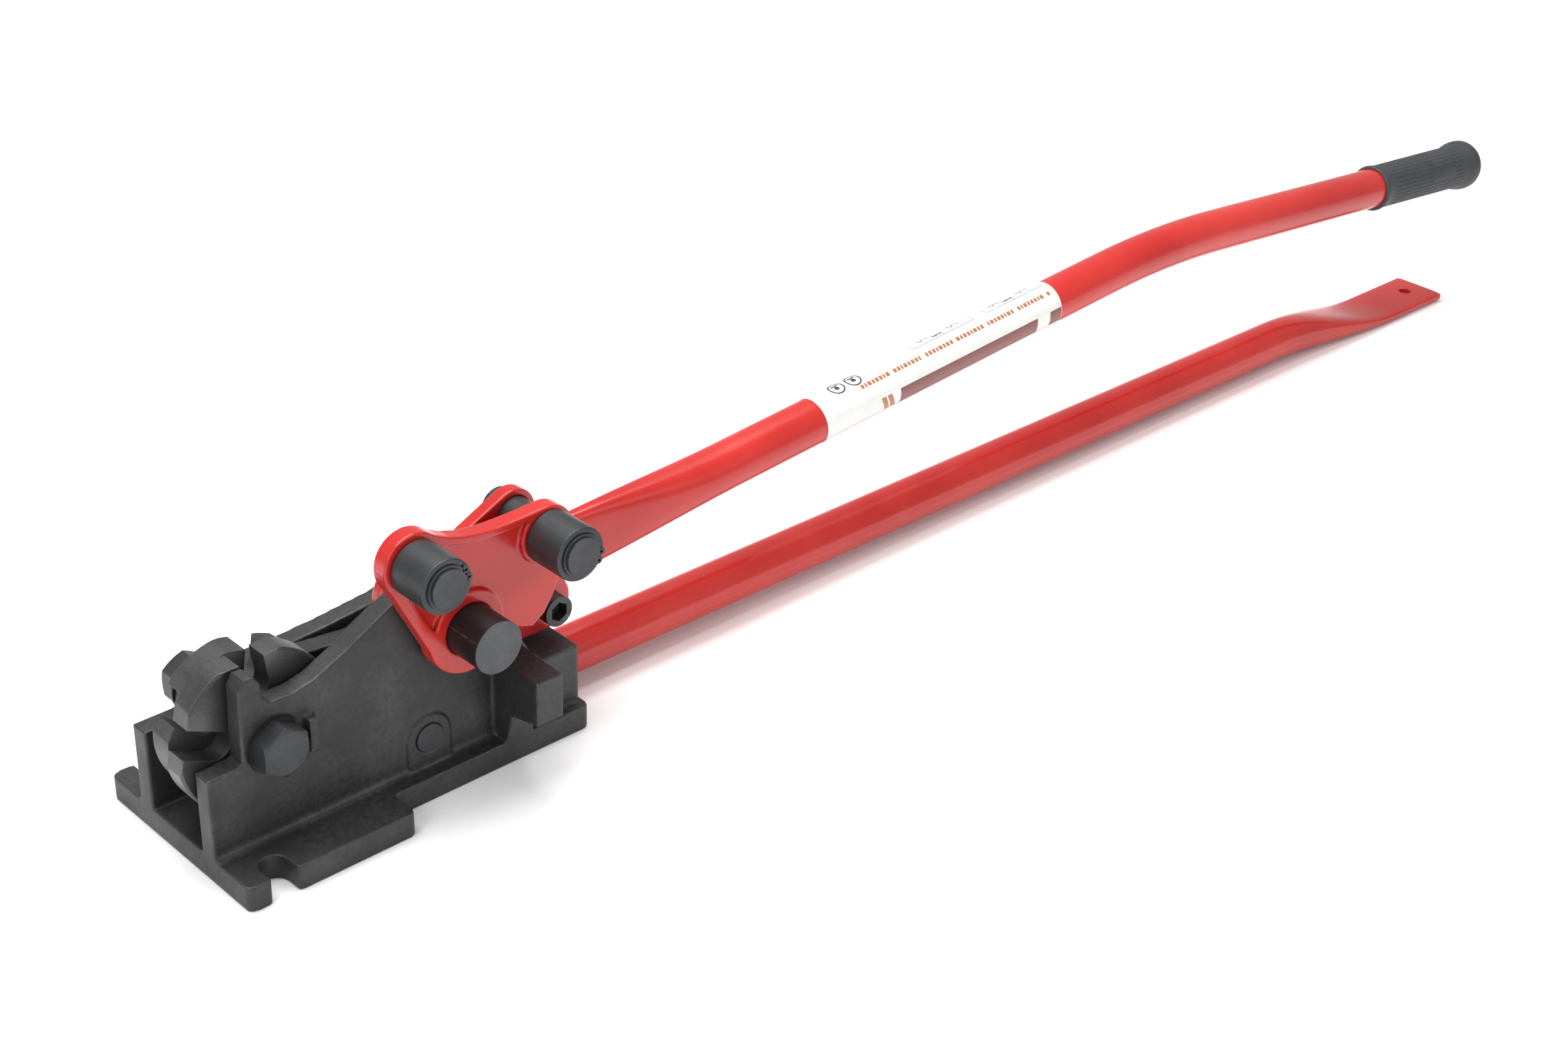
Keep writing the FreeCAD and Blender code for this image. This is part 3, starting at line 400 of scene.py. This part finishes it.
def tube_mesh(name, stations, frame_at, section_at):
    """Rings of a rounded section along a line, closed with flat ends."""
    mesh = bpy.data.meshes.new(name)
    shape = bmesh.new()
    rings = []
    for distance in stations:
        point, _, up = frame_at(distance)
        half_side, half_up, exponent, lift = section_at(distance)
        ring = []
        for index in range(AROUND):
            angle = 2 * math.pi * index / AROUND
            across = half_side * power(math.cos(angle), 2.0 / exponent)
            above = half_up * power(math.sin(angle), 2.0 / exponent) + lift
            ring.append(shape.verts.new(point + SIDE * across + up * above))
        rings.append(ring)
    for first, second in zip(rings, rings[1:]):
        for index in range(AROUND):
            after = (index + 1) % AROUND
            shape.faces.new((first[index], first[after], second[after], second[index]))
    shape.faces.new(list(reversed(rings[0])))
    shape.faces.new(rings[-1])
    bmesh.ops.recalc_face_normals(shape, faces=shape.faces)
    shape.to_mesh(mesh)
    shape.free()
    shade_smooth(mesh, 50.0)
    return mesh


def steps(*parts):
    """Distances from (start, end, count) runs."""
    places = []
    for start, end, count in parts:
        places += [start + (end - start) * index / count for index in range(count)]
    return places + [parts[-1][1]]


FLAT_END, FLAT_HALF_THICK, FLAT_HALF_HEIGHT = 0.055, 0.0064, 0.0230


def handle_section(distance):
    """Half width, half height, squareness and lift of the handle tube at a distance."""
    share = ease((distance - FLAT_END) / 0.150)
    half_up = blend(FLAT_HALF_HEIGHT, TUBE_RADIUS, ease((distance - FLAT_END) / 0.165))
    return blend(FLAT_HALF_THICK, TUBE_RADIUS, share), half_up, blend(3.2, 2.0, share), 0.0


GROUND_START = Vector((0.175, 0.0, 0.0225))
GROUND_FALL = math.radians(0.30)
FLATTEN_START, BLADE_START, BLADE_END = 0.845, 1.01, 1.073
BLADE_HALF_WIDTH, BLADE_HALF_THICK = 0.024, 0.0035
BLADE_HOLE_PLACE, BLADE_HOLE_RADIUS = 1.051, 0.0053


def ground_frame(distance):
    """Point, direction and upward normal on the ground tube's centre line."""
    along = Vector((math.cos(GROUND_FALL), 0, -math.sin(GROUND_FALL)))
    return GROUND_START + along * distance, along, Vector((math.sin(GROUND_FALL), 0, math.cos(GROUND_FALL)))


def ground_section(distance):
    share = ease((distance - FLATTEN_START) / (BLADE_START - FLATTEN_START))
    half_up = blend(TUBE_RADIUS, BLADE_HALF_THICK, ease((distance - FLATTEN_START) / 0.160))
    return blend(TUBE_RADIUS, BLADE_HALF_WIDTH, share), half_up, blend(2.0, 5.0, share), half_up - TUBE_RADIUS


def handle_piece():
    mesh = tube_mesh("handle_tube_skin", steps((0.0, 0.05, 4), (0.05, 0.23, 46), (0.23, 0.60, 20),
                                               (0.60, 0.76, 24), (0.76, HANDLE_LENGTH - 0.001, 12)),
                     handle_frame, handle_section)
    new_piece("handle_tube_skin", mesh, RED, "handle", ("handle_tube",))


def ground_piece():
    mesh = tube_mesh("ground_tube_skin", steps((0.045, 0.84, 30), (0.84, 1.02, 54), (1.02, BLADE_END, 6)),
                     ground_frame, ground_section)
    work = bpy.data.objects.new("blade_work", mesh)
    scene.collection.objects.link(work)
    tool_mesh = bpy.data.meshes.new("blade_drill")
    drill = bmesh.new()
    spot, _, _ = ground_frame(BLADE_HOLE_PLACE)
    bmesh.ops.create_cone(drill, cap_ends=True, segments=48, radius1=BLADE_HOLE_RADIUS,
                          radius2=BLADE_HOLE_RADIUS, depth=0.05, matrix=Matrix.Translation(spot))
    drill.to_mesh(tool_mesh)
    drill.free()
    tool = bpy.data.objects.new("blade_drill", tool_mesh)
    scene.collection.objects.link(tool)
    cut = work.modifiers.new("drill", "BOOLEAN")
    cut.operation = "DIFFERENCE"
    cut.solver = "EXACT"
    cut.object = tool
    graph = bpy.context.evaluated_depsgraph_get()
    result = bpy.data.meshes.new_from_object(work.evaluated_get(graph))
    bpy.data.objects.remove(work)
    bpy.data.objects.remove(tool)
    shade_smooth(result, 50.0)
    new_piece("ground_tube_skin", result, RED, "base", ("ground_tube",))


# ---------------------------------------------------------------- grip

GRIP_LENGTH = 0.147
GRIP_START = HANDLE_LENGTH - GRIP_LENGTH + 0.0042
LIP_RADIUS = 0.01690
DIMPLE_PITCH, DIMPLE_ROWS, DIMPLE_DEPTH = 0.00335, 34, 0.00065
DIMPLES_START, DIMPLES_END = 0.0145, 0.1225


def grip_radius(place):
    """Radius of the moulded sleeve at a distance from its open end."""
    profile = [(0.0, 0.0178), (0.0008, 0.0190), (0.0025, 0.0195), (0.0045, 0.0193), (0.007, 0.0187),
               (0.011, 0.0185), (0.118, 0.0187), (0.124, 0.0192), (0.129, 0.0206), (0.133, 0.0214),
               (0.138, 0.0217), (0.142, 0.0213), (0.1445, 0.0202), (0.1462, 0.0180), (0.147, 0.0150)]
    for (low, first), (high, second) in zip(profile, profile[1:]):
        if place <= high:
            return blend(first, second, ease((place - low) / (high - low)))
    return profile[-1][1]


def panel_depth(place, angle):
    """Signed measure of the plain panel on the near side: positive inside it."""
    across = (angle - math.radians(14)) * 0.0187
    along = place - 0.089
    half_long, half_wide, corner = 0.0185, 0.0062, 0.0035
    reach = Vector((max(abs(along) - half_long + corner, 0), max(abs(across) - half_wide + corner, 0)))
    return corner - reach.length


def grip_relief(place, angle):
    """Rows of small square dimples, broken by the plain panel with its fine groove."""
    inside = panel_depth(place, angle)
    if inside > 0:
        return 0.00015 if inside > 0.0006 else -0.0003
    if place < DIMPLES_START or place > DIMPLES_END or inside > -0.0008:
        return 0.0
    first = abs(((place - DIMPLES_START) / DIMPLE_PITCH) % 1.0 - 0.5) * 2
    second = abs((angle / (2 * math.pi) * DIMPLE_ROWS) % 1.0 - 0.5) * 2
    edge = max(first, second)
    return -DIMPLE_DEPTH * ease((0.62 - edge) / 0.25)


def grip_piece():
    around = DIMPLE_ROWS * 8
    places = [0.0, 0.0008, 0.0016, 0.0025, 0.0035, 0.0045, 0.0057, 0.007, 0.009, 0.011, 0.0135]
    rings_per_dimple = 7
    spacing = DIMPLE_PITCH / rings_per_dimple
    count = int((DIMPLES_END - DIMPLES_START) / DIMPLE_PITCH * rings_per_dimple)
    places += [DIMPLES_START + spacing * index for index in range(count)]
    places += [0.1232, 0.1265, 0.129, 0.131, 0.133, 0.1355, 0.138, 0.140, 0.142, 0.1433, 0.1445, 0.1455,
               0.1462, 0.1467, 0.147]
    mesh = bpy.data.meshes.new("hand_grip_sleeve")
    shape = bmesh.new()
    rings = []
    for place in places:
        point, _, up = handle_frame(GRIP_START + place)
        ring = []
        for index in range(around):
            angle = 2 * math.pi * index / around
            wrapped = angle if angle < math.pi else angle - 2 * math.pi
            radius = grip_radius(place) + grip_relief(place, wrapped)
            ring.append(shape.verts.new(point + (SIDE * math.cos(angle) + up * math.sin(angle)) * radius))
        rings.append(ring)
    for first, second in zip(rings, rings[1:]):
        for index in range(around):
            after = (index + 1) % around
            shape.faces.new((first[index], first[after], second[after], second[index]))
    point, along, up = handle_frame(GRIP_START + 0.0002)
    lip = []
    for index in range(around):
        angle = 2 * math.pi * index / around
        lip.append(shape.verts.new(point + (SIDE * math.cos(angle) + up * math.sin(angle)) * LIP_RADIUS))
    for index in range(around):
        after = (index + 1) % around
        shape.faces.new((lip[index], lip[after], rings[0][after], rings[0][index]))
    shape.faces.new(rings[-1])
    bmesh.ops.recalc_face_normals(shape, faces=shape.faces)
    shape.to_mesh(mesh)
    shape.free()
    shade_smooth(mesh, 60.0)
    new_piece("hand_grip_sleeve", mesh, GRIP, "handle", ("hand_grip",))


# ---------------------------------------------------------------- label

LABEL_START, LABEL_LENGTH = 0.298, 0.244
FILM_RADIUS = 0.01717


def on_tube(along, turn, proud=0.00008):
    """A point on the label: distance from its lower end, and degrees from the top towards the near side."""
    point, _, up = handle_frame(LABEL_START + along)
    angle = math.radians(turn)
    return point + (SIDE * math.sin(angle) + up * math.cos(angle)) * (FILM_RADIUS + proud)


def patch(shape, start, end, low, high, slant=0.0):
    """A printed area between two distances and two turns."""
    columns = max(2, int(abs(high - low) / 5) + 1)
    rows = max(1, int((end - start) / 0.02) + 1)
    grid = []
    for row in range(rows + 1):
        along = start + (end - start) * row / rows
        shares = [column / columns for column in range(columns + 1)]
        grid.append([shape.verts.new(on_tube(along + slant * (share - 0.5), blend(low, high, share)))
                     for share in shares])
    for row in range(rows):
        for column in range(columns):
            shape.faces.new((grid[row][column], grid[row + 1][column], grid[row + 1][column + 1],
                             grid[row][column + 1]))


def disc_print(shape, along, turn, outer, inner, segments=32):
    """A printed ring, or a disc when inner is zero."""
    scale = math.degrees(1.0 / FILM_RADIUS)
    outside, inside = [], []
    for index in range(segments):
        angle = 2 * math.pi * index / segments
        for radius, points in ((outer, outside), (inner, inside)):
            points.append(shape.verts.new(on_tube(along + radius * math.cos(angle),
                                                  turn + radius * math.sin(angle) * scale, 0.00009)))
    for index in range(segments):
        after = (index + 1) % segments
        shape.faces.new((outside[index], outside[after], inside[after], inside[index]))


def print_piece(name, material, draw):
    mesh = bpy.data.meshes.new(name)
    shape = bmesh.new()
    draw(shape)
    bmesh.ops.recalc_face_normals(shape, faces=shape.faces)
    axis_point = handle_frame(LABEL_START + LABEL_LENGTH / 2)[0]
    for face in shape.faces:
        outward = face.calc_center_median() - axis_point
        outward.x = 0
        if face.normal.dot(outward) < 0:
            face.normal_flip()
    shape.to_mesh(mesh)
    shape.free()
    new_piece(name, mesh, material, "handle")


STRIPE_LOW, STRIPE_HIGH = 78, 118


def draw_stripe(shape):
    patch(shape, 0.072, 0.217, STRIPE_LOW, STRIPE_HIGH)
    patch(shape, 0.231, 0.2435, STRIPE_LOW, STRIPE_HIGH)


DASH_WIDTHS = (0.0026, 0.0018, 0.0032, 0.0022, 0.0028)
DASH_SPACE = 0.0011


def draw_accents(shape):
    """Two slanted ticks, and a row of blank dashes where a line of words would be."""
    for start in (0.0545, 0.0605):
        patch(shape, start, start + 0.0045, 80, 116, 0.004)
    row = 0
    along = 0.040
    while along < 0.236:
        width = DASH_WIDTHS[row % len(DASH_WIDTHS)]
        if row % 9 != 8:
            patch(shape, along, along + width, 27, 38)
        along += width + DASH_SPACE
        row += 1


def draw_ink(shape):
    """Thin outlines of two generic drawings, and two plain round icons."""
    for start, end in ((0.102, 0.165), (0.179, 0.239)):
        middle = (start + end) / 2
        patch(shape, start, end, 1.0, 2.4)
        patch(shape, start, end, -62.0, -60.6)
        for place in (start, middle, end - 0.0004):
            patch(shape, place, place + 0.0004, -61, 2)
        for share in (0.25, 0.75):
            centre = start + (end - start) * share
            patch(shape, centre - 0.010, centre + 0.009, -26.0, -24.4)
            patch(shape, centre - 0.007, centre + 0.011, -33.0, -31.8, 0.0)
            patch(shape, centre - 0.0005, centre + 0.0005, -44, -12, 0.008)
            disc_print(shape, centre - 0.004, -20.0, 0.0026, 0.0019)
        patch(shape, middle - 0.006, middle + 0.001, -12.5, -8.0)
        patch(shape, middle - 0.009, middle - 0.006, -14.0, -6.5, 0.003)
    for along in (0.024, 0.040):
        disc_print(shape, along, 2.0, 0.0066, 0.0054)
        disc_print(shape, along, 4.0, 0.0020, 0.0)
        patch(shape, along - 0.0032, along + 0.0032, -9.0, -4.0)


def label_pieces():
    print_piece("label_stripe", MAROON, draw_stripe)
    print_piece("label_accents", ORANGE, draw_accents)
    print_piece("label_drawings", INK, draw_ink)


# ---------------------------------------------------------------- circlips

def washer(shape, centre, inner, outer, near, far, start=0.0, sweep=360.0, segments=48):
    """A flat ring, or an arc of one, with its axis along Y."""
    closed = sweep >= 360.0
    count = segments if closed else segments + 1
    columns = []
    for index in range(count):
        angle = math.radians(start + sweep * index / segments)
        across = Vector((math.cos(angle), 0.0, math.sin(angle)))
        columns.append([shape.verts.new(centre + across * radius + Vector((0, depth, 0)))
                        for radius, depth in ((inner, near), (outer, near), (outer, far), (inner, far))])
    for index in range(segments):
        first, second = columns[index], columns[(index + 1) % count]
        for side in range(4):
            after = (side + 1) % 4
            shape.faces.new((first[side], first[after], second[after], second[side]))
    if not closed:
        shape.faces.new(columns[0])
        shape.faces.new(list(reversed(columns[-1])))


CIRCLIP_INNER, CIRCLIP_OUTER = 0.0117, 0.0143
CIRCLIP_NEAR, CIRCLIP_FAR = -0.08935, -0.08775
EAR_REACH, EAR_HOLE, EAR_RADIUS = 0.0150, 0.0009, 0.0026
HALF_GAP = 11


def circlip_piece(node, name, axis, gap):
    """A ring with two eared ends; gap is the direction of its opening in degrees."""
    mesh = bpy.data.meshes.new(name)
    shape = bmesh.new()
    centre = Vector((axis[0], 0.0, axis[1]))
    washer(shape, centre, CIRCLIP_INNER, CIRCLIP_OUTER, CIRCLIP_NEAR, CIRCLIP_FAR, gap + HALF_GAP,
           360 - 2 * HALF_GAP)
    for side in (-1, 1):
        angle = math.radians(gap + side * HALF_GAP)
        ear = centre + Vector((math.cos(angle), 0.0, math.sin(angle))) * EAR_REACH
        washer(shape, ear, EAR_HOLE, EAR_RADIUS, CIRCLIP_NEAR, CIRCLIP_FAR, segments=24)
    bmesh.ops.recalc_face_normals(shape, faces=shape.faces)
    shape.to_mesh(mesh)
    shape.free()
    shade_smooth(mesh, 40.0)
    piece = new_piece(name, mesh, OXIDE, "handle", (node,))
    bevel = piece.modifiers.new("edges", "BEVEL")
    bevel.width = 0.0002
    bevel.segments = 2
    bevel.limit_method = "ANGLE"


def circlips():
    circlip_piece("front_roller_circlip", "front_circlip_ring", FRONT_AXIS, 20.0)
    circlip_piece("rear_roller_circlip", "rear_circlip_ring", REAR_AXIS, -20.0)


def castings():
    softened("base_frame", 0.0010, 4, 0.35, "base_casting", CAST, "base")
    softened("near_plate", 0.0006, 16, 0.4, "near_plate_forging", RED, "handle")
    softened("inner_plate", 0.0007, 12, 0.4, "inner_plate_forging", RED, "handle")
    softened("crank_plate", 0.0008, 8, 0.4, "crank_plate_forging", RED, "handle")
    softened("cutter_lever", 0.0009, 8, 0.4, "cutter_lever_forging", LEVER, "cutter_arm")


# ---------------------------------------------------------------- stage

def stage():
    floor = bpy.data.meshes.new("floor")
    reach = 14.0
    floor.from_pydata([(-reach, -reach, -0.0003), (reach, -reach, -0.0003), (reach, reach, -0.0003),
                       (-reach, reach, -0.0003)], [], [(0, 1, 2, 3)])
    piece = bpy.data.objects.new("floor", floor)
    scene.collection.objects.link(piece)
    s = Shader("pale_floor")
    s.set(Roughness=0.9, Specular_IOR_Level=0.1)
    s.colour(s.ramp(s.noise(0.6), [(0.0, 0.93), (1.0, 0.95)]))
    floor.materials.append(s.material)

    world = bpy.data.worlds.new("studio")
    scene.world = world
    world.use_nodes = True
    background = world.node_tree.nodes["Background"]
    background.inputs["Color"].default_value = (1.0, 1.0, 1.0, 1.0)
    background.inputs["Strength"].default_value = 0.50
    lamps = (("top", (0.3, 0.5, 2.4), (0.35, 0.0, 0.0), 2.6, 1.6, 84.0),
             ("left", (-1.9, -0.6, 1.5), (0.1, 0.0, 0.1), 1.0, 1.2, 20.0),
             ("front", (0.8, -2.2, 1.2), (0.4, 0.0, 0.1), 1.2, 0.8, 10.0))
    for name, spot, target, width, depth, power in lamps:
        data = bpy.data.lights.new(name, "AREA")
        data.shape = "RECTANGLE"
        data.size = width
        data.size_y = depth
        data.energy = power
        lamp = bpy.data.objects.new(name, data)
        scene.collection.objects.link(lamp)
        lamp.location = spot
        lamp.rotation_euler = (Vector(target) - Vector(spot)).to_track_quat("-Z", "Y").to_euler()


LENS = 57.27
CAMERA_SPOT = (-0.6305, -1.1066, 0.9173)
CAMERA_RIGHT, CAMERA_UP = Vector((0.7276, -0.6853, 0.0313)), Vector((0.3165, 0.3758, 0.8710))


def camera():
    data = bpy.data.cameras.new("camera")
    data.sensor_width = 36.0
    data.lens = LENS
    data.clip_end = 60.0
    eye = bpy.data.objects.new("camera", data)
    scene.collection.objects.link(eye)
    right = CAMERA_RIGHT.normalized()
    back = right.cross(CAMERA_UP).normalized()
    up = back.cross(right)
    eye.matrix_world = Matrix.Translation(CAMERA_SPOT) @ Matrix(
        (right, up, back)).transposed().to_4x4()
    scene.camera = eye


camera()
stage()
finish_nodes()
machined_edges()
castings()
handle_piece()
ground_piece()
grip_piece()
label_pieces()
circlips()
scene.view_settings.view_transform = "Standard"
scene.view_settings.look = "None"
